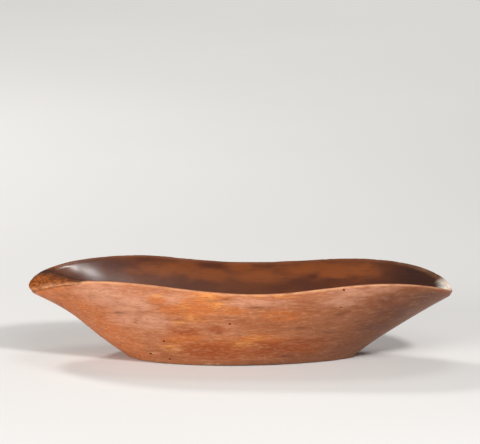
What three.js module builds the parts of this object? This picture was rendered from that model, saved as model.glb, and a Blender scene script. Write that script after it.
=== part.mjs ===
// A long boat-shaped bowl, hewn and carved from a single piece of wood.
// Sizes are in millimetres and angles in radians. +X runs along the bowl and +Z is up.
// The origin is on the ground below the bowl's middle, and the front side has negative Y.
// An angle of 0 is at the right tip, a quarter turn at the back, and a half turn at the left tip.

import * as THREE from 'three';

// Overall size, at the rim
const LENGTH = 558;
const WIDTH = 197;

// The rim rises from each tip to a crest and dips between the crests
const RIGHT_TIP_HEIGHT = 91.5;
const RIGHT_CREST_HEIGHT = 115;
const RIGHT_CREST_SETBACK = 104; // from the right tip, along X
const WAIST_HEIGHT = 104;
const BACK_WAIST_X = -4; // from the middle, towards the right
const FRONT_WAIST_X = 23;
const LEFT_CREST_HEIGHT = 114.5;
const LEFT_CREST_SETBACK = 124; // from the left tip, along X
const LEFT_TIP_HEIGHT = 90.5;
const LEFT_TIP_TURN = 0.19; // the lowest point of the left tip lies this far round to the front

// Power of the rim's rise from each tip: 1 is a notch, 2 is a smooth hollow
const RIGHT_NOTCH_POWER = 1.25;
const LEFT_NOTCH_POWER = 1.5;

// Powers of the outlines seen from above: 1 is an ellipse, less is blunter, and more is pointed
const RIM_POINT_POWER = 0.9;

// Flat foot, an egg shape that is more pointed at the right
const FOOT_LENGTH = 303;
const FOOT_WIDTH = 124;
const FOOT_LEAN = 0.24; // share of the width that moves from the right half to the left
const RIGHT_FOOT_POWER = 1.18;
const LEFT_FOOT_POWER = 0.95;

// Powers of the outside profile, foot to rim: below 1 it bellies out, above 1 it is hollow
const SIDE_PROFILE_POWER = 0.68;
const RIGHT_END_POWER = 1.16;
const LEFT_END_POWER = 1.24;
const END_REACH = 1.9; // how fast the end profile gives way to the side profile
const LEFT_END_SWEEP = 0.27; // the left keel bulges low down and flares out below the tip
const SHOULDER = 0.8; // share of a side's slope that is lost just below the rim
const SHOULDER_POWER = 3; // the higher, the nearer to the rim the shoulder lies

// Walls
const RIM_THICKNESS = 7;
const RIM_ROUNDING = 2.4;
const TIP_FACE = 3.6; // upright end of each tip, below the rounding
const TIP_FACE_POWER = 14; // how fast that face runs out along the sides
const FLOOR_THICKNESS = 15;

// The rim's thickness is measured towards this line along the middle, which stops short of the tips
const SPINE_SETBACK = 117;

// The left tip has a wide flat lip. The edge where the scoop begins slants across the bowl.
const LIP_EDGE_SETBACK = 50; // from the left tip, along the middle
const LIP_EDGE_SLANT = 0.62; // distance along X that the edge gains for each step to the front
const LIP_CORNER = 4; // softens the corner where the edge meets the rim
const LIP_LEVELLING = 20; // extra width at which the lip is level from the front rim to the back
const LEAST_APPROACH = 0.5; // least change of the edge's distance for each step into the bowl
const LIP_ROUNDING = 10; // from the lip down into the scoop

// Scoop inside the walls, with a flat floor that is the foot's outline, drawn in
const FLOOR_END_INSET = 30;
const FLOOR_SIDE_INSET = 20;
const FLOOR_POWER = 0.95;
const SCOOP_SIDE_POWER = 0.62;
const SCOOP_END_POWER = 1.05;

// Steps of the surface
const STEPS_ROUND = 108;
const STEP_CROWDING = 1.5; // above 1 a wall's steps crowd towards its lower end
const WALL_STEPS = 14;
const ROUNDING_STEPS = 2;
const SCOOP_STEPS = 12;

const WOOD_COLOR = 0x9a5a38;
const WOOD_ROUGHNESS = 0.45;

const mix = THREE.MathUtils.lerp;
const rightShare = (angle) => (1 + Math.cos(angle)) / 2;
const roundSine = (angle, point) => Math.sign(Math.sin(angle)) * Math.abs(Math.sin(angle)) ** point;
const sideShare = (angle) => Math.abs(Math.sin(angle)) ** END_REACH;

// Angle between a point of the rim and the right tip, from 0 to a half turn on either side
function angleFromRight(angle) {
  return Math.acos(Math.cos(angle));
}

// Rim height from a tip to its crest, and from one crest or dip to the next
function tipRise(share, tipHeight, crestHeight, notch) {
  return mix(tipHeight, crestHeight, Math.sin((share * Math.PI) / 2) ** notch);
}

function swell(share, start, end) {
  return mix(start, end, (1 - Math.cos(share * Math.PI)) / 2);
}

function rimHeight(angle) {
  const fromRight = angleFromRight(angle);
  const halfLength = LENGTH / 2;
  const waistX = Math.sin(angle) > 0 ? BACK_WAIST_X : FRONT_WAIST_X;
  const rightCrest = Math.acos(1 - RIGHT_CREST_SETBACK / halfLength);
  const leftCrest = Math.acos(LEFT_CREST_SETBACK / halfLength - 1);
  const waist = Math.acos(waistX / halfLength);
  if (fromRight < rightCrest) {
    return tipRise(fromRight / rightCrest, RIGHT_TIP_HEIGHT, RIGHT_CREST_HEIGHT, RIGHT_NOTCH_POWER);
  }
  if (fromRight < waist) {
    const share = (fromRight - rightCrest) / (waist - rightCrest);
    return swell(share, RIGHT_CREST_HEIGHT, WAIST_HEIGHT);
  }
  if (fromRight < leftCrest) {
    return swell((fromRight - waist) / (leftCrest - waist), WAIST_HEIGHT, LEFT_CREST_HEIGHT);
  }
  const low = Math.PI + LEFT_TIP_TURN;
  const frontCrest = 2 * Math.PI - leftCrest;
  const crest = angle < low ? leftCrest : frontCrest;
  return tipRise((angle - low) / (crest - low), LEFT_TIP_HEIGHT, LEFT_CREST_HEIGHT, LEFT_NOTCH_POWER);
}

// Outer edge of the rim, seen from above
function rimPlan(angle) {
  return new THREE.Vector2(
    (LENGTH / 2) * Math.cos(angle),
    (WIDTH / 2) * roundSine(angle, RIM_POINT_POWER),
  );
}

// Direction from the rim's outer edge into the bowl, seen from above
function inward(angle) {
  const rim = rimPlan(angle);
  const reach = LENGTH / 2 - SPINE_SETBACK;
  const spine = new THREE.Vector2(THREE.MathUtils.clamp(rim.x, -reach, reach), 0);
  return spine.sub(rim).normalize();
}

// How far the lip makes the rim wider than it is elsewhere
function lipExtra(angle) {
  const rim = rimPlan(angle);
  const towards = inward(angle);
  const edgeX = LIP_EDGE_SETBACK - LENGTH / 2 - LIP_EDGE_SLANT * rim.y;
  const approach = Math.max(towards.x + LIP_EDGE_SLANT * towards.y, LEAST_APPROACH);
  const gap = (edgeX - rim.x) / approach - RIM_THICKNESS;
  return (gap + Math.hypot(gap, LIP_CORNER)) / 2;
}

// 1 on the left lip and 0 round the rest of the rim
const lipShare = (angle) => THREE.MathUtils.smoothstep(lipExtra(angle), 0, LIP_LEVELLING);
const rimThickness = (angle) => RIM_THICKNESS + lipExtra(angle);
const scoopRounding = (angle) => mix(RIM_ROUNDING, LIP_ROUNDING, lipShare(angle));

// Height halfway round from the front rim to the back rim, in proportion to where a point lies
function levelHeight(plan) {
  const back = Math.acos(THREE.MathUtils.clamp(plan.x / (LENGTH / 2), -1, 1));
  const halfWidth = rimPlan(back).y;
  const share = halfWidth > 0 ? (plan.y / halfWidth + 1) / 2 : 0;
  return mix(rimHeight(2 * Math.PI - back), rimHeight(back), share);
}

// Point on top of the rim at one angle, some way in from its outer edge
function rimTop(angle, depth) {
  const plan = rimPlan(angle).addScaledVector(inward(angle), depth);
  return lift(plan, mix(rimHeight(angle), levelHeight(plan), lipShare(angle)));
}

// Egg-shaped outline of the foot and of the scoop's floor
function eggPlan(angle, length, width, power) {
  const lean = 1 - FOOT_LEAN * Math.cos(angle);
  return new THREE.Vector2(
    (length / 2) * Math.cos(angle),
    (width / 2) * roundSine(angle, power) * lean,
  );
}

// Outward swell of a side wall below the rim, as a share of the wall's reach
function shoulder(angle, profile, rise) {
  const slope = SHOULDER * profile * sideShare(angle);
  return slope * rise ** SHOULDER_POWER * (1 - rise);
}

// Share of a wall's height at one of its steps
const riseAt = (step, steps) => (step / steps) ** STEP_CROWDING;

function lift(plan, height) {
  return new THREE.Vector3(plan.x, plan.y, height);
}

// Outside wall at one angle, from the foot's edge up to the rim
function outerWall(angle) {
  const point = mix(LEFT_FOOT_POWER, RIGHT_FOOT_POWER, rightShare(angle));
  const foot = eggPlan(angle, FOOT_LENGTH, FOOT_WIDTH, point);
  const rim = rimPlan(angle);
  const top = rimHeight(angle) - RIM_ROUNDING - TIP_FACE * Math.cos(angle) ** TIP_FACE_POWER;
  const end = mix(LEFT_END_POWER, RIGHT_END_POWER, rightShare(angle));
  const profile = mix(end, SIDE_PROFILE_POWER, sideShare(angle));
  const sweep = LEFT_END_SWEEP * (1 - rightShare(angle)) * (1 - sideShare(angle));
  const points = [];
  for (let i = 0; i < WALL_STEPS; i++) {
    const rise = riseAt(i, WALL_STEPS);
    const sway = (sweep * Math.sin(2 * Math.PI * rise)) / (2 * Math.PI);
    const reach = rise ** profile + sway + shoulder(angle, profile, rise);
    points.push(lift(foot.clone().lerp(rim, reach), top * rise));
  }
  return points;
}

// Rim at one angle: outer rounding, flat lip and the rounding into the scoop
function rimEdge(angle) {
  const thickness = rimThickness(angle);
  const outer = Math.min(RIM_ROUNDING, thickness / 2);
  const inner = Math.min(scoopRounding(angle), thickness / 2);
  const points = [];
  const add = (depth, drop) => {
    points.push(rimTop(angle, depth).sub(lift(new THREE.Vector2(), drop)));
  };
  for (let i = 0; i <= ROUNDING_STEPS; i++) {
    const turn = (i / ROUNDING_STEPS) * (Math.PI / 2);
    add(outer * (1 - Math.cos(turn)), outer * (1 - Math.sin(turn)));
  }
  add((outer + thickness - inner) / 2, 0);
  for (let i = ROUNDING_STEPS; i >= 0; i--) {
    const turn = (i / ROUNDING_STEPS) * (Math.PI / 2);
    add(thickness - inner * (1 - Math.cos(turn)), inner * (1 - Math.sin(turn)));
  }
  return points;
}

// Scoop wall at one angle, from below the rim down to the floor's edge
function scoopWall(angle) {
  const length = FOOT_LENGTH - 2 * FLOOR_END_INSET;
  const floor = lift(eggPlan(angle, length, FOOT_WIDTH - 2 * FLOOR_SIDE_INSET, FLOOR_POWER), 0);
  const rim = rimTop(angle, rimThickness(angle));
  const top = rim.z - scoopRounding(angle);
  const profile = mix(SCOOP_END_POWER, SCOOP_SIDE_POWER, sideShare(angle));
  const points = [];
  for (let i = SCOOP_STEPS - 1; i >= 0; i--) {
    const rise = riseAt(i, SCOOP_STEPS);
    const reach = rise ** profile + shoulder(angle, profile, rise);
    points.push(lift(floor.clone().lerp(rim, reach), mix(FLOOR_THICKNESS, top, rise)));
  }
  return points;
}

// Closed skin over the sections round the bowl, with a fan over the foot and one over the floor
function skin(sections) {
  const count = sections[0].length;
  const rows = sections.length;
  const vertices = [...sections.flat(), lift(new THREE.Vector2(), 0)];
  vertices.push(lift(new THREE.Vector2(), FLOOR_THICKNESS));
  const footCentre = rows * count;
  const floorCentre = footCentre + 1;
  const faces = [];
  for (let row = 0; row < rows; row++) {
    const here = row * count;
    const next = ((row + 1) % rows) * count;
    for (let i = 0; i < count - 1; i++) {
      faces.push(here + i, next + i, next + i + 1);
      faces.push(here + i, next + i + 1, here + i + 1);
    }
    faces.push(footCentre, next, here);
    faces.push(floorCentre, here + count - 1, next + count - 1);
  }
  const geometry = new THREE.BufferGeometry().setFromPoints(vertices);
  geometry.setIndex(faces);
  geometry.computeVertexNormals();
  return geometry;
}

function makeBowl() {
  const sections = [];
  for (let i = 0; i < STEPS_ROUND; i++) {
    const angle = (i / STEPS_ROUND) * 2 * Math.PI;
    sections.push([...outerWall(angle), ...rimEdge(angle), ...scoopWall(angle)]);
  }
  const wood = new THREE.MeshStandardMaterial({
    color: WOOD_COLOR,
    roughness: WOOD_ROUGHNESS,
    metalness: 0,
  });
  const bowl = new THREE.Mesh(skin(sections), wood);
  bowl.name = 'bowl';
  return bowl;
}

const carvedBowl = new THREE.Group();
carvedBowl.add(makeBowl());

export default carvedBowl;
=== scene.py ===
"""A long boat-shaped bowl carved from one piece of wood: its worn surface, its light and its camera.

The shape is worked in millimetres and radians, and turned into metres when its mesh is made.
An angle of 0 is at the right tip, a quarter turn at the back, and a half turn at the left tip.
"""

import math

import bpy
import numpy as np
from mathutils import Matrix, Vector, noise


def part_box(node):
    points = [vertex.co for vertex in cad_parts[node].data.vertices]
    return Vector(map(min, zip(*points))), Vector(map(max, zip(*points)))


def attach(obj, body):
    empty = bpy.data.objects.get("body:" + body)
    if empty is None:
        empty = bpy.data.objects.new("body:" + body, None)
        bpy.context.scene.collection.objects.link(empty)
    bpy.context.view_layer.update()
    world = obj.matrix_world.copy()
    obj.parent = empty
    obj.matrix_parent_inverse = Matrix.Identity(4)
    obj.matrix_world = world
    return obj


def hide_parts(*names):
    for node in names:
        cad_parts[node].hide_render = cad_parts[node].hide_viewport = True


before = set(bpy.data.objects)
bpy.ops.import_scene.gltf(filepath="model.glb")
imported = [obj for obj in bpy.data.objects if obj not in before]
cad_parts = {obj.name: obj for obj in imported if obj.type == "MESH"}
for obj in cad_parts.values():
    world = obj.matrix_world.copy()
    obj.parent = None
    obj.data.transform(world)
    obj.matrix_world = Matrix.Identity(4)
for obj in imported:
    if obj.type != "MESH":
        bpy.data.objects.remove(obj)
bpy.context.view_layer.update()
bowl_low, bowl_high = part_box("bowl")

MM = 0.001

# Overall size, at the rim
LENGTH = (bowl_high.x - bowl_low.x) / MM
WIDTH = (bowl_high.y - bowl_low.y) / MM

# The rim rises from each tip to a crest and dips between the crests
RIGHT_TIP_HEIGHT = 91.5
RIGHT_CREST_HEIGHT = 115
RIGHT_CREST_SETBACK = 104
WAIST_HEIGHT = 104
BACK_WAIST_X = -4
FRONT_WAIST_X = 23
LEFT_CREST_HEIGHT = 114.5
LEFT_CREST_SETBACK = 124
LEFT_TIP_HEIGHT = 90.5
LEFT_TIP_TURN = 0.19
RIGHT_NOTCH_POWER = 1.25
LEFT_NOTCH_POWER = 1.5
RIM_POINT_POWER = 0.9

# Flat foot, an egg shape that is more pointed at the right
FOOT_LENGTH = 303
FOOT_WIDTH = 124
FOOT_LEAN = 0.24
RIGHT_FOOT_POWER = 1.18
LEFT_FOOT_POWER = 0.95

# Outside profile from foot to rim
SIDE_PROFILE_POWER = 0.68
RIGHT_END_POWER = 1.16
LEFT_END_POWER = 1.24
END_REACH = 1.9
LEFT_END_SWEEP = 0.27
SHOULDER = 0.8
SHOULDER_POWER = 3

# Walls, lip and scoop
RIM_THICKNESS = 7
RIM_ROUNDING = 2.4
TIP_FACE = 3.6
TIP_FACE_POWER = 14
FLOOR_THICKNESS = 15
SPINE_SETBACK = 117
LIP_EDGE_SETBACK = 50
LIP_EDGE_SLANT = 0.62
LIP_CORNER = 4
LIP_LEVELLING = 20
LEAST_APPROACH = 0.5
LIP_ROUNDING = 10
FLOOR_END_INSET = 30
FLOOR_SIDE_INSET = 20
FLOOR_POWER = 0.95
SCOOP_SIDE_POWER = 0.62
SCOOP_END_POWER = 1.05

# Steps of the fine surface
STEPS_ROUND = 560
OUTER_STEPS = 58
ROUNDING_STEPS = 5
LIP_STEPS = 6
SCOOP_STEPS = 46
DISC_STEPS = 9
STEP_CROWDING = 1.5

# The camera stands a little to the right and looks down on the bowl
IMAGE_WIDTH = 480
IMAGE_HEIGHT = 444
CAMERA_AZIMUTH = math.radians(3.77)
CAMERA_ELEVATION = math.radians(14)
CAMERA_DISTANCE = 4.48
PIXELS_PER_METRE = 759.0
ORIGIN_PIXEL = (239.7, 354.4)
SENSOR = 36.0


def mix(start, end, share):
    return start + (end - start) * share


def right_share(angle):
    return (1 + np.cos(angle)) / 2


def round_sine(angle, power):
    return np.sign(np.sin(angle)) * np.abs(np.sin(angle)) ** power


def side_share(angle):
    return np.abs(np.sin(angle)) ** END_REACH


def tip_rise(share, tip_height, crest_height, power):
    return mix(tip_height, crest_height, math.sin(share * math.pi / 2) ** power)


def swell(share, start, end):
    return mix(start, end, (1 - math.cos(share * math.pi)) / 2)


def rim_height(angle):
    """Height of the rim at one angle."""
    from_right = math.acos(max(-1.0, min(1.0, math.cos(angle))))
    half = LENGTH / 2
    right_crest = math.acos(1 - RIGHT_CREST_SETBACK / half)
    left_crest = math.acos(LEFT_CREST_SETBACK / half - 1)
    waist = math.acos((BACK_WAIST_X if math.sin(angle) > 0 else FRONT_WAIST_X) / half)
    if from_right < right_crest:
        return tip_rise(from_right / right_crest, RIGHT_TIP_HEIGHT, RIGHT_CREST_HEIGHT, RIGHT_NOTCH_POWER)
    if from_right < waist:
        share = (from_right - right_crest) / (waist - right_crest)
        return swell(share, RIGHT_CREST_HEIGHT, WAIST_HEIGHT)
    if from_right < left_crest:
        return swell((from_right - waist) / (left_crest - waist), WAIST_HEIGHT, LEFT_CREST_HEIGHT)
    low = math.pi + LEFT_TIP_TURN
    crest = left_crest if angle < low else 2 * math.pi - left_crest
    return tip_rise((angle - low) / (crest - low), LEFT_TIP_HEIGHT, LEFT_CREST_HEIGHT, LEFT_NOTCH_POWER)


rim_heights = np.vectorize(rim_height)


def rim_plan(angle):
    return np.stack([LENGTH / 2 * np.cos(angle), WIDTH / 2 * round_sine(angle, RIM_POINT_POWER)], -1)


def inward(angle):
    """Direction from the rim's outer edge into the bowl, seen from above."""
    rim = rim_plan(angle)
    reach = LENGTH / 2 - SPINE_SETBACK
    spine = np.stack([np.clip(rim[:, 0], -reach, reach), np.zeros(len(rim))], -1)
    towards = spine - rim
    return towards / np.linalg.norm(towards, axis=1)[:, None]


def lip_extra(angle):
    """How far the lip makes the rim wider than it is elsewhere."""
    rim, towards = rim_plan(angle), inward(angle)
    edge_x = LIP_EDGE_SETBACK - LENGTH / 2 - LIP_EDGE_SLANT * rim[:, 1]
    approach = np.maximum(towards[:, 0] + LIP_EDGE_SLANT * towards[:, 1], LEAST_APPROACH)
    gap = (edge_x - rim[:, 0]) / approach - RIM_THICKNESS
    return (gap + np.hypot(gap, LIP_CORNER)) / 2


def lip_share(angle):
    share = np.clip(lip_extra(angle) / LIP_LEVELLING, 0, 1)
    return share * share * (3 - 2 * share)


def scoop_rounding(angle):
    return mix(RIM_ROUNDING, LIP_ROUNDING, lip_share(angle))


def level_height(plan):
    """Height between the front rim and the back rim, in proportion to where a point lies."""
    back = np.arccos(np.clip(plan[:, 0] / (LENGTH / 2), -1, 1))
    half_width = np.maximum(rim_plan(back)[:, 1], MM)
    share = np.clip((plan[:, 1] / half_width + 1) / 2, 0, 1)
    return mix(rim_heights(2 * math.pi - back), rim_heights(back), share)


def rim_top(angle, depth):
    """Points on top of the rim, some way in from its outer edge."""
    plan = rim_plan(angle) + inward(angle) * depth[:, None]
    return at(plan, mix(rim_heights(angle), level_height(plan), lip_share(angle)))


def egg_plan(angle, length, width, power):
    """Outline of the foot and of the scoop's floor."""
    lean = 1 - FOOT_LEAN * np.cos(angle)
    return np.stack([length / 2 * np.cos(angle), width / 2 * round_sine(angle, power) * lean], -1)


def foot_plan(angle):
    power = mix(LEFT_FOOT_POWER, RIGHT_FOOT_POWER, right_share(angle))
    return egg_plan(angle, FOOT_LENGTH, FOOT_WIDTH, power)


def floor_plan(angle):
    length, width = FOOT_LENGTH - 2 * FLOOR_END_INSET, FOOT_WIDTH - 2 * FLOOR_SIDE_INSET
    return egg_plan(angle, length, width, FLOOR_POWER)


def shoulder(angle, power, rise):
    """Outward swell of a side wall below the rim, as a share of the wall's reach."""
    return SHOULDER * power * side_share(angle) * rise ** SHOULDER_POWER * (1 - rise)


def even_angles(steps):
    """Angles at which the rim's outline has points at even distances."""
    dense = np.linspace(0, 2 * math.pi, 20 * steps + 1)
    pieces = np.linalg.norm(np.diff(rim_plan(dense), axis=0), axis=1)
    travelled = np.concatenate([[0], np.cumsum(pieces)])
    return np.interp(np.arange(steps) / steps * travelled[-1], travelled, dense)


def at(plan, height):
    height = np.broadcast_to(height, plan.shape[:1])
    return np.concatenate([plan, height[:, None]], 1)


def outer_wall(angle):
    """Rings from the foot's edge up to the rim."""
    foot, rim = foot_plan(angle), rim_plan(angle)
    top = rim_heights(angle) - RIM_ROUNDING - TIP_FACE * np.cos(angle) ** TIP_FACE_POWER
    end = mix(LEFT_END_POWER, RIGHT_END_POWER, right_share(angle))
    power = mix(end, SIDE_PROFILE_POWER, side_share(angle))
    sweep = LEFT_END_SWEEP * (1 - right_share(angle)) * (1 - side_share(angle))
    for i in range(OUTER_STEPS):
        rise = (i / OUTER_STEPS) ** STEP_CROWDING
        sway = sweep * math.sin(2 * math.pi * rise) / (2 * math.pi)
        reach = rise ** power + sway + shoulder(angle, power, rise)
        yield at(foot + (rim - foot) * reach[:, None], top * rise)


def rim_edge(angle):
    """Rings over the rim: outer rounding, flat lip and the rounding into the scoop."""
    thickness = RIM_THICKNESS + lip_extra(angle)
    outer = np.minimum(RIM_ROUNDING, thickness / 2)
    inner = np.minimum(scoop_rounding(angle), thickness / 2)

    def ring(depth, drop):
        top = rim_top(angle, depth)
        return at(top[:, :2], top[:, 2] - drop)

    turns = np.linspace(0, math.pi / 2, ROUNDING_STEPS + 1)
    for turn in turns:
        yield ring(outer * (1 - math.cos(turn)), outer * (1 - math.sin(turn)))
    for i in range(1, LIP_STEPS):
        yield ring(mix(outer, thickness - inner, i / LIP_STEPS), 0)
    for turn in turns[::-1]:
        yield ring(thickness - inner * (1 - math.cos(turn)), inner * (1 - math.sin(turn)))


def scoop_wall(angle):
    """Rings from below the rim down to the floor's edge."""
    floor = floor_plan(angle)
    rim = rim_top(angle, RIM_THICKNESS + lip_extra(angle))
    top = rim[:, 2] - scoop_rounding(angle)
    power = mix(SCOOP_END_POWER, SCOOP_SIDE_POWER, side_share(angle))
    for i in range(SCOOP_STEPS - 1, -1, -1):
        rise = (i / SCOOP_STEPS) ** STEP_CROWDING
        reach = rise ** power + shoulder(angle, power, rise)
        yield at(floor + (rim[:, :2] - floor) * reach[:, None], mix(FLOOR_THICKNESS, top, rise))


# What the surface's finish needs to know at each point, kept on the mesh as attributes
MARKS = ("inner", "edge", "lip", "foot")

# Reach of each mark, in millimetres
EDGE_REACH = 2.6
FOOT_REACH = 7.0
LIP_REACH = 12.0

# Places on the front wall, each as x, z, half length and half height
ORANGE_PATCHES = [
    (-46, 84, 34, 20), (-78, 80, 24, 9), (-30, 98, 24, 8), (-2, 80, 22, 7), (-100, 92, 16, 6),
    (-60, 34, 36, 14), (-4, 28, 60, 17), (30, 40, 40, 10), (82, 26, 34, 10), (60, 74, 34, 8),
]
RUSTY_PATCHES = [(-24, 54, 14, 7), (-18, 24, 72, 14), (44, 26, 56, 12), (92, 34, 26, 8), (-66, 50, 20, 6)]
PURPLE_PATCHES = [(208, 72, 30, 12), (180, 50, 24, 11), (238, 90, 24, 10), (196, 92, 16, 8)]
# Pale pinkish patches: partly paler wood, partly a painted sheen on the upper wall
PALE_AND_SHEEN_PATCHES = [
    (-176, 96, 44, 18), (-136, 84, 34, 20), (-110, 62, 30, 16), (-90, 96, 36, 10),
    (150, 103, 34, 9), (181, 107, 26, 6), (136, 92, 26, 9), (-146, 60, 24, 12), (24, 92, 44, 7),
]
YELLOW_PATCHES = [
    (-36, 100, 14, 7), (-20, 88, 13, 7), (-66, 86, 9, 5), (-56, 70, 9, 4), (-84, 26, 13, 6),
    (-70, 62, 12, 3), (6, 34, 16, 5), (26, 42, 12, 4), (-98, 98, 16, 3), (50, 102, 24, 2.5),
]
STAINS = [
    (63, 14, 9, 1.3), (-20, 49, 5, 1.3), (118, 47, 8, 1.4), (86, 56, 10, 1.2), (-152, 71, 7, 1.4),
    (133, 74, 6, 1.6), (30, 86, 12, 0.9), (-12, 97, 5, 1),
]
BARE_SPOTS = [(-36, 3, 5, 1.4), (-107, 15, 5, 1.2), (-76, 22, 5, 0.9), (-60, 99, 10, 1), (-24, 3, 3, 1)]

# Warm places on the inside of the back wall
WARM_PATCHES = [
    (84, 98, 40, 10), (122, 97, 44, 12), (158, 100, 34, 10), (-4, 98, 30, 8), (-100, 94, 50, 10),
    (20, 86, 40, 9), (-50, 88, 40, 9),
]

FRONT_PLACES = {"orange": ORANGE_PATCHES, "rust": RUSTY_PATCHES, "pale": PALE_AND_SHEEN_PATCHES,
                "yellow": YELLOW_PATCHES, "purple": PURPLE_PATCHES, "stain": STAINS, "bare": BARE_SPOTS}

# Insect holes, each as x, z and width: placed after the photograph on the front, guessed on the back
FRONT_HOLES = [
    (-93.6, 33.7, 3.2), (-111.9, 13.7, 3.4), (-127.5, 7.6, 2.8), (-86.9, 7.6, 2.8),
    (-6.7, 62.2, 3.0), (139.6, 108.5, 3.0), (135.7, 84.0, 2.2), (56.4, 70.0, 1.6),
]
BACK_HOLES = [(74, 40, 2.4), (88, 27, 2.2), (-58, 78, 2.0), (-120, 55, 2.6)]
HOLE_DEPTH = 4.5
HOLE_CUTTER_RISE = 2.0  # how far the cutting rods stand out of the wall
HOLE_SIDES = 20
SHARP_ANGLE = math.radians(42)

# Wear in millimetres: depth, size of its lumps along X, Y and Z, and seed
LONG_WEAR = (0.3, (90, 40, 34), 1)
TOOL_WEAR = (0.1, (26, 9, 7), 2)
SCOOP_WEAR = (0.12, (80, 16, 16), 3)
RIM_WEAR = (0.35, (24, 24, 24), 4)
NICKS = (1.1, (6, 6, 5), 5)
NICK_LEVEL = 0.25  # noise above this makes a nick
LIP_WEAR = (0.5, (11, 9, 6), 6)
FOOT_WEAR = (0.7, (14, 14, 14), 7)
FOOT_UNEVENNESS = 0.6

# Dents: how many, and their least and greatest radius and depth in millimetres
DENTS = 46
DENT_SEED = 11
DENT_RADIUS = (3, 9)
DENT_DEPTH = (0.1, 0.35)

# Grain of the log that the bowl is cut from, in millimetres
HEART_HEIGHT = -60
RING_WIDTH = 4.2
GRAIN_WANDER = 26
GRAIN_TREMOR = 3.5

# Noise runs from 0 to 1, but most of it lies between these
NOISE_MIDDLE = (0.3, 0.7)

# Noise in the materials: size of its lumps along X, Y and Z in millimetres, detail and seed
NOISES = {
    "wander": ((190, 60, 60), 3, 0),
    "tremor": ((40, 9, 7), 3, 13),
    "ragged": ((22, 10, 6), 9, 2),
    "scoop_ragged": ((26, 12, 9), 8, 5),
    "broken_rim": ((14, 14, 6), 7, 9),
    "gloss": ((30, 14, 12), 4, 10),
    "relief": ((20, 2.4, 1.2), 5, 11),
    "floor": ((700, 700, 700), 2, 0),
}

# Noise that comes and goes: size, detail and seed as above, and the values between which it fades in
FIELDS = {
    "clear_grain": ((110, 50, 30), 3, 14, (0.42, 0.66)),
    "broad": ((85, 50, 36), 4, 1, (0.34, 0.64)),
    "glints": ((12, 5, 2.2), 7, 16, (0.4, 0.58)),
    "light_spots": ((20, 8, 3), 7, 17, (0.5, 0.7)),
    "mottle": ((26, 12, 7), 9, 15, (0.48, 0.68)),
    "flecks": ((7, 4, 1.7), 4, 18, (0.52, 0.66)),
    "pores": ((6, 4, 1.9), 4, 19, (0.52, 0.68)),
    "streaks": ((60, 6, 2), 6, 3, (0.52, 0.72)),
    "scoop_broad": ((70, 40, 30), 4, 4, (0.38, 0.64)),
    "scoop_streaks": ((45, 3.5, 2), 4, 6, (0.54, 0.74)),
    "lip_mottle": ((5, 9, 4), 7, 7, (0.4, 0.64)),
    "lip_specks": ((3, 5, 2.5), 5, 8, (0.54, 0.68)),
    "scratched": ((50, 40, 22), 3, 12, (0.46, 0.6)),
}

# Plain colours of the wood, as display values from 0 to 255
OUTSIDE_TONES = ((182, 106, 64), (198, 126, 88))
SCOOP_TONES = ((82, 43, 27), (102, 55, 31))
LIP_TONES = ((112, 52, 14), (164, 84, 24))

# Colours laid over them: display values, and how much of each shows at most
COATS = {
    # painted shade: a darker tone over the outside of the right part, the side away from the key light
    "painted_shade_outside_right": ((158, 96, 64), 0.8),
    "purple": ((128, 78, 64), 0.55),
    # pale: paler wood with a painted sheen
    "pale": ((224, 160, 130), 0.8),
    "keel": ((212, 114, 52), 0.9),
    "orange": ((210, 114, 50), 0.8),
    "rust": ((164, 74, 30), 0.85),
    "yellow": ((242, 160, 84), 0.9),
    "light_spots": ((232, 164, 122), 0.32),
    "mottle": ((152, 80, 44), 0.34),
    "flecks": ((238, 172, 118), 1.0),
    "pores": ((128, 68, 42), 1.0),
    "grain": ((130, 70, 44), 0.16),
    "streaks": ((120, 64, 42), 0.26),
    "foot_band": ((188, 116, 70), 0.6),
    "warm": ((140, 75, 35), 0.65),
    # painted shade: the inside of the right end darkened
    "painted_shade_right": ((46, 28, 22), 0.9),
    # painted highlight: near white inside the right tip
    "painted_highlight_tip": ((248, 240, 226), 0.88),
    "scoop_grain": ((80, 46, 36), 0.2),
    "scoop_streaks": ((76, 44, 38), 0.35),
    "lip_specks": ((206, 122, 44), 0.6),
    "lip_back": ((84, 50, 36), 0.9),
    # painted shade where the lip rolls off into the scoop
    "lip_edge_shade": ((44, 22, 14), 0.85),
    # rim wear together with a painted highlight along the rim's edge
    "rub_and_highlight": ((234, 174, 130), 1.0),
    "scratches": ((232, 170, 124), 0.5),
    "stain": ((84, 44, 30), 0.6),
    "bare": ((236, 186, 138), 0.7),
}

# Ragged patches: how far noise moves their edges, and the mark's values between which they fade in
RAGGEDNESS = 1.5
PATCH_EDGE = (0.1, 0.95)
PATCH_LIMIT = (0.02, 0.3)

# Where each part of the finish fades in, in metres along X; a falling pair fades out
# painted shade over the outside of the right part
PAINTED_SHADE_OUTSIDE_RIGHT_X = (0.02, 0.25)
KEEL_X = (-0.09, -0.14)
# painted shade inside the right end
PAINTED_SHADE_RIGHT_X = (0.15, 0.23)
# rim wear and painted highlight at the right end
RUB_AND_HIGHLIGHT_RIGHT_X = (0.14, 0.26)
CALM_X = (0.06, 0.17)

# The same along Y
KEEL_Y = (-0.076, -0.05)
LIP_BACK_Y = (0.0, 0.03)
BACK_RIM_Y = (0.0, 0.012)
FRONT_RIM_Y = (-0.01, -0.04)
POLISH_Y = (0.015, 0.035)

# The same along X, slanted like the lip's inner edge
# painted shade on the lip's inner edge, where it rolls off into the scoop
LIP_EDGE_SHADE_REACH = (-0.262, -0.236)
POLISH_START = (-0.215, -0.185)
POLISH_END = (-0.14, -0.168)

# The same for the painted highlight inside the right tip, along X less half of the distance from the
# middle
TIP_SLANT = -0.5
TIP_REACH = (0.256, 0.286)
TIP_RAGGEDNESS = 0.03

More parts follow.
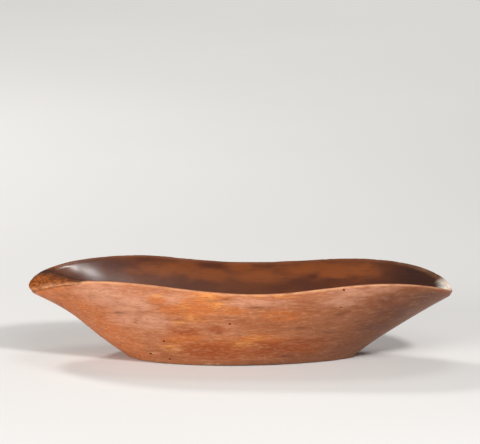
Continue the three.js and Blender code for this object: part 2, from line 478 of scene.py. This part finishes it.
# The same by the marks on the mesh
FOOT_BAND = (0.1, 0.9)
LIP_FADE = (0.15, 0.7)
BACK_RIM_EDGE = (0.4, 0.8)
# rim wear and painted highlight along the rim's edge
RUB_AND_HIGHLIGHT_EDGE = (0.55, 1.0)
OUTER_HALF = (0.5, 0.2)

# Shares of the finish
KEEL_PATCHINESS = (0.4, 1.0)
RIM_PATCHINESS = (0.1, 1.0)
FLECK_SHARE = 0.28
FLECK_LOSS = -0.16  # at the right end
BACK_RIM_SHARE = 0.9
# shares of the rim wear and painted highlight
FRONT_RUB_AND_HIGHLIGHT = 0.65
RIGHT_RUB_AND_HIGHLIGHT = 0.12
CALM_SHARE = 0.75

# Scratches: turn about Y and seed of each direction, and size of their lumps in millimetres
SCRATCH_TURNS = [(0.0, 13), (0.05, 14), (-0.07, 15)]
SCRATCH_LUMPS = (18, 3, 0.8)
SCRATCH_DETAIL = 1
SCRATCH_FADE = (0.64, 0.74)

# Gloss and relief of the wood
ROUGHNESS = (0.42, 0.56)
POLISH_SMOOTHING = 0.18
SCRATCH_ROUGHENING = 0.15
SPECULAR_LEVEL = 0.3
WAX_WEIGHT = 0.15
POLISH_WEIGHT = 0.75
WAX_ROUGHNESS = 0.22
GRAIN_RELIEF = 0.15
SCRATCH_RELIEF = 0.4
BUMP_STRENGTH = 0.4
BUMP_DEPTH = 0.2

# Floor and light, in metres; each lamp has azimuth, elevation, distance, width, height, level
# and whether polished wood mirrors it
FLOOR_RADIUS = 14.0
FLOOR_SIDES = 96
LAMP_AIM = 0.06
FLOOR_TONES = ((216, 214, 211), (222, 220, 217))
FLOOR_UNSEEN = (150, 146, 140)  # its colour for the light that it throws back at the bowl
FLOOR_ROUGHNESS = 0.8
GLOW_REACH = (0.3, 3.6)
GLOW_LEVEL = 0.72
WORLD_COLOUR = (240, 236, 232)
WORLD_LEVEL = 0.14
LAMPS = [
    ("key", -46, 14, 2.6, 1.2, 0.8, 0.84, False),
    ("fill", 20, 52, 2.8, 1.8, 1.0, 0.14, False),
    ("left_shine", 46, 43.5, 2.6, 0.42, 0.42, 0.6, True),
    ("right_shine", -141, 42, 2.6, 0.5, 0.4, 0.42, False),
    ("top", 170, 68, 2.6, 1.2, 0.8, 0.16, False),
]


def disc_rings(outline, height):
    """Rings from near the middle of a flat face out to its outline."""
    for i in range(1, DISC_STEPS + 1):
        yield at(outline * (i / (DISC_STEPS + 1)), height)


def surface_rings():
    """Points of the fine surface as rings from the foot's middle to the floor's, and each one's marks."""
    angle = even_angles(STEPS_ROUND)
    lip = lip_share(angle)
    foot, floor = foot_plan(angle), floor_plan(angle)
    none = np.zeros(STEPS_ROUND)
    rings, marks = [], []

    def add(ring, **known):
        rings.append(ring)
        marks.append({name: np.broadcast_to(known.get(name, none), none.shape) for name in MARKS})

    for ring in disc_rings(foot, 0):
        gap = np.linalg.norm(ring[:, :2] - foot, axis=1)
        add(ring, foot=np.exp(-gap / FOOT_REACH))
    for ring in outer_wall(angle):
        edge = np.exp((ring[:, 2] - rim_heights(angle)) / EDGE_REACH)
        add(ring, edge=edge, foot=np.exp(-ring[:, 2] / FOOT_REACH), lip=lip * edge)
    edge_rings = list(rim_edge(angle))
    for i, ring in enumerate(edge_rings):
        add(ring, inner=i / len(edge_rings), edge=1, lip=lip)
    for ring in scoop_wall(angle):
        drop = edge_rings[-1][:, 2] - ring[:, 2]
        add(ring, inner=1, edge=np.exp(-drop / EDGE_REACH), lip=lip * np.exp(-drop / LIP_REACH))
    for ring in list(disc_rings(floor, FLOOR_THICKNESS))[::-1]:
        add(ring, inner=1)
    return np.array(rings), {name: np.array([m[name] for m in marks]) for name in MARKS}


def make_mesh(name, rings):
    """Closed mesh over a stack of rings that all have the same number of points."""
    count, around = rings.shape[:2]
    here = np.arange(around)
    after = np.roll(here, -1)
    faces = [list(here[::-1])]
    for i in range(count - 1):
        low, high = i * around, (i + 1) * around
        faces += np.stack([low + here, low + after, high + after, high + here], 1).tolist()
    faces.append(list((count - 1) * around + here))
    mesh = bpy.data.meshes.new(name)
    mesh.from_pydata((rings.reshape(-1, 3) * MM).tolist(), [], faces)
    return mesh


def noise_at(points, lump, seed):
    """Smooth noise, mostly from -1 to 1; lump is the size of its lumps along X, Y and Z."""
    scaled = points / np.array(lump) + np.array([seed * 17.3, seed * 5.1, seed * 9.7])
    return np.array([noise.noise(Vector(p)) for p in scaled])


def near_places(points, places, side):
    """1 on the front or back wall at each of the listed places, fading round them."""
    share = np.zeros(len(points))
    for x, z, half_length, half_height in places:
        gap = ((points[:, 0] - x) / half_length) ** 2 + ((points[:, 2] - z) / half_height) ** 2
        share = np.maximum(share, np.exp(-gap))
    return share * (points[:, 1] * side > 0)


def uneven(points, depth, lump, seed):
    """A depth that varies from place to place, mostly from nothing to twice as much."""
    return depth * (1 + noise_at(points, lump, seed))


def wear(points, marks):
    """How far the tools and years of use have taken the surface back at each point."""
    outside = 1 - marks["inner"]
    depth = uneven(points, *LONG_WEAR) * outside
    depth += uneven(points, *TOOL_WEAR) * outside
    depth += uneven(points, *SCOOP_WEAR) * marks["inner"]
    depth += uneven(points, *RIM_WEAR) * marks["edge"]
    nick_depth, nick_lump, nick_seed = NICKS
    nicks = np.clip(noise_at(points, nick_lump, nick_seed) - NICK_LEVEL, 0, 1)
    depth += nick_depth * nicks * marks["edge"] * outside
    depth += uneven(points, *LIP_WEAR) * marks["lip"]
    foot_depth, foot_lump, foot_seed = FOOT_WEAR
    foot_noise = noise_at(points, foot_lump, foot_seed)
    depth += foot_depth * marks["foot"] * (1 + FOOT_UNEVENNESS * foot_noise)
    random = np.random.default_rng(DENT_SEED)
    for centre in points[random.integers(0, len(points), DENTS)]:
        radius, dip = random.uniform(*DENT_RADIUS), random.uniform(*DENT_DEPTH)
        gap = np.linalg.norm(points - centre, axis=1) / radius
        depth += dip * np.exp(-gap ** 2)
    return depth


def read_points(mesh):
    values = np.empty(len(mesh.vertices) * 3)
    mesh.vertices.foreach_get("co", values)
    return values.reshape(-1, 3) / MM


def read_normals(mesh):
    values = np.empty(len(mesh.vertices) * 3)
    mesh.vertex_normals.foreach_get("vector", values)
    return values.reshape(-1, 3)


def hole_cutter(points, normals):
    """One mesh of short rods, each standing in the wall where an insect came out."""
    corners, faces = [], []
    turns = np.arange(HOLE_SIDES) / HOLE_SIDES * 2 * math.pi
    for side, holes in ((-1, FRONT_HOLES), (1, BACK_HOLES)):
        for x, z, width in holes:
            mouth, out = wall_point(points, normals, side, x, z)
            across = Vector((1, 0, 0)).cross(out).normalized()
            along = out.cross(across)
            base = len(corners)
            for lift in (HOLE_CUTTER_RISE, -HOLE_DEPTH):
                for turn in turns:
                    spread = across * math.cos(turn) + along * math.sin(turn)
                    corners.append((mouth + out * lift + spread * width / 2) * MM)
            ring = list(range(base, base + HOLE_SIDES))
            faces += [ring, [i + HOLE_SIDES for i in reversed(ring)]]
            for i in range(HOLE_SIDES):
                after = (i + 1) % HOLE_SIDES
                faces.append([base + after, base + i, base + i + HOLE_SIDES, base + after + HOLE_SIDES])
    mesh = bpy.data.meshes.new("insect_holes")
    mesh.from_pydata(corners, [], faces)
    return mesh


def wall_point(points, normals, side, x, z):
    """The point of the front or back outer wall at x and z, and the direction out of the wall there."""
    facing = (points[:, 1] * side > 0) & (normals[:, 1] * side > 0)
    gap = np.abs(points[:, 0] - x) + np.abs(points[:, 2] - z) + np.where(facing, 0, LENGTH)
    nearest = int(np.argmin(gap))
    return Vector((x, points[nearest, 1], z)), Vector(normals[nearest])


def cut_holes(bowl, cutter_mesh):
    cutter = link(bpy.data.objects.new("insect_holes", cutter_mesh))
    cut = bowl.modifiers.new("holes", "BOOLEAN")
    cut.operation, cut.solver, cut.object = "DIFFERENCE", "EXACT", cutter
    apply_modifiers(bowl)
    bpy.data.objects.remove(cutter)


def apply_modifiers(thing):
    evaluated = thing.evaluated_get(bpy.context.evaluated_depsgraph_get())
    mesh = bpy.data.meshes.new_from_object(evaluated)
    thing.modifiers.clear()
    thing.data = mesh


def link(thing):
    bpy.context.scene.collection.objects.link(thing)
    return thing


def store(mesh, name, values):
    """Keeps one number for each point of the mesh, for the material to read."""
    attribute = mesh.attributes.new(name, "FLOAT", "POINT")
    attribute.data.foreach_set("value", np.ascontiguousarray(values, np.float32))


def make_bowl():
    rings, marks = surface_rings()
    mesh = make_mesh("carved_bowl", rings)
    mesh.update()
    marks = {name: values.reshape(-1).astype(float) for name, values in marks.items()}
    points, normals = read_points(mesh), read_normals(mesh)
    worn = points - normals * wear(points, marks)[:, None]
    worn[:, 2] -= worn[:, 2].min()
    mesh.vertices.foreach_set("co", (worn * MM).ravel())
    mesh.update()
    for name in MARKS:
        store(mesh, name, marks[name])
    bowl = link(bpy.data.objects.new("carved_bowl", mesh))
    holes = hole_cutter(worn, read_normals(mesh))
    cut_holes(bowl, holes)
    paint_marks(bowl.data)
    bowl.data.shade_smooth()
    bowl.data.set_sharp_from_angle(angle=SHARP_ANGLE)
    return bowl


def paint_marks(mesh):
    """Marks that are set by place alone, after the holes are cut."""
    points = read_points(mesh)
    inner = np.empty(len(points))
    mesh.attributes["inner"].data.foreach_get("value", inner)
    for name, places in FRONT_PLACES.items():
        store(mesh, name, near_places(points, places, -1) * (1 - inner))
    store(mesh, "warm", near_places(points, WARM_PATCHES, 1) * inner)


def srgb(red, green, blue):
    """Linear colour from 0 to 255 display values."""
    def linear(value):
        share = value / 255
        return share / 12.92 if share <= 0.04045 else ((share + 0.055) / 1.055) ** 2.4
    return (linear(red), linear(green), linear(blue), 1.0)


class Shader:
    """A node material under construction; its methods add nodes and give their output."""

    def __init__(self, name):
        self.material = bpy.data.materials.new(name)
        self.material.use_nodes = True
        self.tree = self.material.node_tree
        self.surface = self.tree.nodes["Principled BSDF"]
        self.place = self.add("ShaderNodeTexCoord").outputs["Object"]
        self.along, self.across = self.add("ShaderNodeSeparateXYZ", {"Vector": self.place}).outputs[:2]

    def add(self, kind, inputs=None, **settings):
        node = self.tree.nodes.new(kind)
        for name, value in settings.items():
            setattr(node, name, value)
        for name, value in (inputs or {}).items():
            self.set(node.inputs[name], value)
        return node

    def set(self, socket, value):
        if isinstance(value, bpy.types.NodeSocket):
            self.tree.links.new(value, socket)
        else:
            socket.default_value = value

    def math(self, operation, *values):
        node = self.add("ShaderNodeMath", dict(enumerate(values)), operation=operation)
        return node.outputs[0]

    def mark(self, name):
        return self.add("ShaderNodeAttribute", attribute_name=name).outputs["Fac"]

    def lumps(self, size, detail, seed, turn=0.0):
        """Noise whose lumps have the given size along X, Y and Z in millimetres, turned about Y."""
        scale = [1 / (side * MM) for side in size]
        turned = self.add("ShaderNodeMapping", {"Vector": self.place, "Rotation": (0, turn, 0)})
        spread = self.add("ShaderNodeMapping", {"Vector": turned.outputs[0], "Scale": scale,
                                                "Location": (seed, seed, seed)})
        inputs = {"Vector": spread.outputs[0], "Scale": 1.0, "Detail": detail}
        return self.add("ShaderNodeTexNoise", inputs).outputs["Fac"]

    def noise(self, name):
        return self.lumps(*NOISES[name])

    def field(self, name):
        size, detail, seed, reach = FIELDS[name]
        return self.step(self.lumps(size, detail, seed), *reach)

    def step(self, value, low, high):
        """0 below low, 1 above high and smooth between them; it falls if low is the greater."""
        inputs = {"Value": value, "From Min": low, "From Max": high}
        return self.add("ShaderNodeMapRange", inputs, interpolation_type="SMOOTHSTEP").outputs["Result"]

    def span(self, value, low, high):
        """Stretches the middle of a noise's range over low to high."""
        start, end = NOISE_MIDDLE
        inputs = {"Value": value, "From Min": start, "From Max": end, "To Min": low, "To Max": high}
        return self.add("ShaderNodeMapRange", inputs).outputs["Result"]

    def tint(self, base, colour, share):
        node = self.add("ShaderNodeMix", data_type="RGBA")
        for socket, value in ((node.inputs[0], share), (node.inputs[6], base), (node.inputs[7], colour)):
            self.set(socket, value)
        return node.outputs[2]

    def tones(self, pair, share):
        """A colour between two given as display values."""
        return self.tint(srgb(*pair[0]), srgb(*pair[1]), share)

    def coat(self, base, name, share):
        """Lays one of the COATS over a colour."""
        paint, most = COATS[name]
        return self.tint(base, srgb(*paint), self.math("MULTIPLY", share, most))


def wood_grain(shader):
    """Year rings round an axis below the bowl, seen as long wavy lines; from 0 to 1."""
    inputs = {"Vector": shader.place, "Location": (0, 0, -HEART_HEIGHT * MM), "Scale": (0, 1, 1)}
    axis = shader.add("ShaderNodeMapping", inputs).outputs[0]
    radius = shader.add("ShaderNodeVectorMath", {0: axis}, operation="LENGTH").outputs["Value"]
    wander = shader.math("MULTIPLY", shader.noise("wander"), GRAIN_WANDER * MM)
    tremor = shader.math("MULTIPLY", shader.noise("tremor"), GRAIN_TREMOR * MM)
    away = shader.math("ADD", shader.math("ADD", radius, wander), tremor)
    wave = shader.math("SINE", shader.math("MULTIPLY", away, 2 * math.pi / (RING_WIDTH * MM)))
    rings = shader.math("MULTIPLY_ADD", wave, 0.5, 0.5)
    return shader.math("MULTIPLY", rings, shader.field("clear_grain"))


def patch(shader, colour, name, ragged):
    """Paints the places of one mark, with ragged edges."""
    shift = shader.math("SUBTRACT", ragged, 0.5)
    moved = shader.math("MULTIPLY_ADD", shift, RAGGEDNESS, shader.mark(name))
    limit = shader.step(shader.mark(name), *PATCH_LIMIT)
    share = shader.math("MULTIPLY", shader.step(moved, *PATCH_EDGE), limit)
    return shader.coat(colour, name, share)


def outside_colour(shader, grain):
    colour = shader.tones(OUTSIDE_TONES, shader.field("broad"))
    ragged = shader.noise("ragged")
    # Painted shade: the outside of the right part is darkened
    right = shader.step(shader.along, *PAINTED_SHADE_OUTSIDE_RIGHT_X)
    colour = shader.coat(colour, "painted_shade_outside_right", right)
    colour = patch(shader, colour, "purple", ragged)
    # Pale patches: paler wood with a painted sheen
    colour = patch(shader, colour, "pale", ragged)
    keel = shader.math("MULTIPLY", shader.step(shader.along, *KEEL_X), shader.step(shader.across, *KEEL_Y))
    keel = shader.math("MULTIPLY", keel, shader.span(ragged, *KEEL_PATCHINESS))
    colour = shader.coat(colour, "keel", keel)
    colour = patch(shader, colour, "orange", ragged)
    colour = patch(shader, colour, "rust", ragged)
    glints = shader.math("MULTIPLY", shader.mark("yellow"), shader.field("glints"))
    colour = shader.coat(colour, "yellow", glints)
    colour = shader.coat(colour, "light_spots", shader.field("light_spots"))
    colour = shader.coat(colour, "mottle", shader.field("mottle"))
    clear = shader.math("MULTIPLY_ADD", right, FLECK_LOSS, FLECK_SHARE)
    for name in ("flecks", "pores"):
        colour = shader.coat(colour, name, shader.math("MULTIPLY", shader.field(name), clear))
    colour = shader.coat(colour, "grain", grain)
    colour = shader.coat(colour, "streaks", shader.field("streaks"))
    return shader.coat(colour, "foot_band", shader.step(shader.mark("foot"), *FOOT_BAND))


def inside_colour(shader, grain):
    colour = shader.tones(SCOOP_TONES, shader.field("scoop_broad"))
    ragged = shader.noise("scoop_ragged")
    colour = patch(shader, colour, "warm", ragged)
    # Painted shade: the inside of the right end is darkened
    colour = shader.coat(colour, "painted_shade_right", shader.step(shader.along, *PAINTED_SHADE_RIGHT_X))
    # Painted highlight: near white inside the right tip
    from_middle = shader.math("ABSOLUTE", shader.across)
    slanted = shader.math("MULTIPLY_ADD", from_middle, TIP_SLANT, shader.along)
    moved = shader.math("MULTIPLY_ADD", ragged, TIP_RAGGEDNESS, slanted)
    colour = shader.coat(colour, "painted_highlight_tip", shader.step(moved, *TIP_REACH))
    colour = shader.coat(colour, "scoop_grain", grain)
    return shader.coat(colour, "scoop_streaks", shader.field("scoop_streaks"))


def from_lip(shader):
    """X, slanted so that it is the same all along the lip's inner edge and grows into the scoop."""
    return shader.math("MULTIPLY_ADD", shader.across, LIP_EDGE_SLANT, shader.along)


def lip_colour(shader):
    """Bare orange wood, mottled with old dirt, darker at the back, and with painted shade where it rolls
    off into the scoop.
    """
    colour = shader.tones(LIP_TONES, shader.field("lip_mottle"))
    colour = shader.coat(colour, "lip_specks", shader.field("lip_specks"))
    colour = shader.coat(colour, "lip_back", shader.step(shader.across, *LIP_BACK_Y))
    # Painted shade where the lip rolls off into the scoop
    return shader.coat(colour, "lip_edge_shade", shader.step(from_lip(shader), *LIP_EDGE_SHADE_REACH))


def scratches(shader):
    """Thin scratches in three slightly different directions; from 0 to 1."""
    lines = 0.0
    for turn, seed in SCRATCH_TURNS:
        line = shader.step(shader.lumps(SCRATCH_LUMPS, SCRATCH_DETAIL, seed, turn), *SCRATCH_FADE)
        lines = shader.math("MAXIMUM", lines, line)
    return shader.math("MULTIPLY", lines, shader.field("scratched"))


def rim_rub_and_highlight(shader, inner):
    """Where the rim is painted pale, partly wear from hands and partly a painted highlight along its edge:
    most along the front, and a little at the right end.
    """
    broken = shader.span(shader.noise("broken_rim"), *RIM_PATCHINESS)
    pale_rim_line = shader.math("MULTIPLY", shader.step(shader.mark("edge"), *RUB_AND_HIGHLIGHT_EDGE), broken)
    outer = shader.step(inner, *OUTER_HALF)
    front = shader.math("MULTIPLY", shader.step(shader.across, *FRONT_RIM_Y), outer)
    front = shader.math("MULTIPLY", front, FRONT_RUB_AND_HIGHLIGHT)
    right = shader.math("MULTIPLY", shader.step(shader.along, *RUB_AND_HIGHLIGHT_RIGHT_X), RIGHT_RUB_AND_HIGHLIGHT)
    return shader.math("MULTIPLY", pale_rim_line, shader.math("MAXIMUM", front, right))


def polished_patch(shader, inner):
    """Where the inside of the back wall is polished, next to the lip."""
    start = shader.step(from_lip(shader), *POLISH_START)
    end = shader.step(from_lip(shader), *POLISH_END)
    along_wall = shader.math("MULTIPLY", start, end)
    at_back = shader.math("MULTIPLY", along_wall, shader.step(shader.across, *POLISH_Y))
    return shader.math("MULTIPLY", at_back, inner)


def old_wood():
    shader = Shader("old_wood")
    grain = wood_grain(shader)
    inner = shader.mark("inner")

    # The back rim looks like the inside
    back_edge = shader.step(shader.mark("edge"), *BACK_RIM_EDGE)
    back_rim = shader.math("MULTIPLY", back_edge, shader.step(shader.across, *BACK_RIM_Y))
    inside = shader.math("MAXIMUM", inner, shader.math("MULTIPLY", back_rim, BACK_RIM_SHARE))
    colour = shader.tint(outside_colour(shader, grain), inside_colour(shader, grain), inside)
    colour = shader.tint(colour, lip_colour(shader), shader.step(shader.mark("lip"), *LIP_FADE))
    # Rim wear and a painted highlight along the rim's edge
    colour = shader.coat(colour, "rub_and_highlight", rim_rub_and_highlight(shader, inner))

    # The right end and the inside have few scratches
    calm = shader.math("MULTIPLY", shader.step(shader.along, *CALM_X), CALM_SHARE)
    calm = shader.math("MAXIMUM", inner, calm)
    lines = shader.math("MULTIPLY", scratches(shader), shader.math("SUBTRACT", 1.0, calm))
    colour = shader.coat(colour, "scratches", lines)
    colour = shader.coat(colour, "stain", shader.mark("stain"))
    colour = shader.coat(colour, "bare", shader.mark("bare"))

    polish = polished_patch(shader, inner)
    rough = shader.span(shader.noise("gloss"), *ROUGHNESS)
    rough = shader.math("SUBTRACT", rough, shader.math("MULTIPLY", polish, POLISH_SMOOTHING))
    rough = shader.math("ADD", rough, shader.math("MULTIPLY", lines, SCRATCH_ROUGHENING))
    relief = shader.math("MULTIPLY_ADD", grain, GRAIN_RELIEF, shader.noise("relief"))
    relief = shader.math("SUBTRACT", relief, shader.math("MULTIPLY", lines, SCRATCH_RELIEF))
    inputs = {"Height": relief, "Strength": BUMP_STRENGTH, "Distance": BUMP_DEPTH * MM}
    sockets = {
        "Base Color": colour,
        "Roughness": rough,
        "Specular IOR Level": SPECULAR_LEVEL,
        "Coat Weight": shader.math("MULTIPLY_ADD", polish, POLISH_WEIGHT, WAX_WEIGHT),
        "Coat Roughness": WAX_ROUGHNESS,
        "Normal": shader.add("ShaderNodeBump", inputs).outputs[0],
    }
    for name, value in sockets.items():
        shader.set(shader.surface.inputs[name], value)
    return shader.material


def make_floor():
    mesh = bpy.data.meshes.new("studio_floor")
    turns = [i / FLOOR_SIDES * 2 * math.pi for i in range(FLOOR_SIDES)]
    corners = [(FLOOR_RADIUS * math.cos(t), FLOOR_RADIUS * math.sin(t), 0) for t in turns]
    mesh.from_pydata(corners, [], [list(range(FLOOR_SIDES))])
    floor = link(bpy.data.objects.new("studio_floor", mesh))
    shader = Shader("pale_floor")
    tone = shader.tones(FLOOR_TONES, shader.noise("floor"))
    path = shader.add("ShaderNodeLightPath").outputs
    seen = shader.math("MAXIMUM", path["Is Camera Ray"], path["Is Transmission Ray"])
    seen = shader.math("MAXIMUM", seen, path["Is Glossy Ray"])
    shader.set(shader.surface.inputs["Base Color"], shader.tint(srgb(*FLOOR_UNSEEN), tone, seen))
    away = shader.add("ShaderNodeVectorMath", {0: shader.place}, operation="LENGTH").outputs["Value"]
    glow = shader.math("MULTIPLY", shader.step(away, *GLOW_REACH), GLOW_LEVEL)
    shader.set(shader.surface.inputs["Emission Color"], tone)
    shader.set(shader.surface.inputs["Emission Strength"], shader.math("MULTIPLY", glow, seen))
    shader.set(shader.surface.inputs["Roughness"], FLOOR_ROUGHNESS)
    mesh.materials.append(shader.material)


def softbox(name, azimuth, elevation, distance, width, height, level, mirrored):
    """A soft lamp aimed at the bowl; level is how bright it makes a white surface that faces it."""
    turn, rise = math.radians(azimuth), math.radians(elevation)
    back = Vector((math.sin(turn) * math.cos(rise), -math.cos(turn) * math.cos(rise), math.sin(rise)))
    light = bpy.data.lights.new(name, "AREA")
    light.shape, light.size, light.size_y = "ELLIPSE", width, height
    light.energy = level * (math.pi * distance) ** 2
    lamp = link(bpy.data.objects.new(name, light))
    lamp.visible_glossy = mirrored
    lamp.location = Vector((0, 0, LAMP_AIM)) + back * distance
    lamp.rotation_euler = back.to_track_quat("Z", "Y").to_euler()


def make_light():
    world = bpy.data.worlds.new("studio_air")
    world.use_nodes = True
    air = world.node_tree.nodes["Background"]
    air.inputs["Color"].default_value = srgb(*WORLD_COLOUR)
    air.inputs["Strength"].default_value = WORLD_LEVEL
    bpy.context.scene.world = world
    for lamp in LAMPS:
        softbox(*lamp)


def make_camera():
    """Stands where the fit to the photograph puts it, and looks at the middle of the picture."""
    cos_rise, sin_rise = math.cos(CAMERA_ELEVATION), math.sin(CAMERA_ELEVATION)
    cos_turn, sin_turn = math.cos(CAMERA_AZIMUTH), math.sin(CAMERA_AZIMUTH)
    back = Vector((sin_turn * cos_rise, -cos_turn * cos_rise, sin_rise))
    right = Vector((cos_turn, sin_turn, 0))
    up = back.cross(right)
    aim = right * (IMAGE_WIDTH / 2 - ORIGIN_PIXEL[0]) + up * (ORIGIN_PIXEL[1] - IMAGE_HEIGHT / 2)
    aim /= PIXELS_PER_METRE
    camera = bpy.data.cameras.new("camera")
    camera.sensor_width = SENSOR
    camera.lens = SENSOR * PIXELS_PER_METRE * CAMERA_DISTANCE / IMAGE_WIDTH
    view = link(bpy.data.objects.new("camera", camera))
    view.location = back * CAMERA_DISTANCE
    view.rotation_euler = (view.location - aim).to_track_quat("Z", "Y").to_euler()
    bpy.context.scene.camera = view


bpy.context.scene.view_settings.view_transform = "Standard"
make_camera()
make_light()
make_floor()
bowl = make_bowl()
bowl.data.materials.clear()
bowl.data.materials.append(old_wood())
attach(bowl, "root")
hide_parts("bowl")
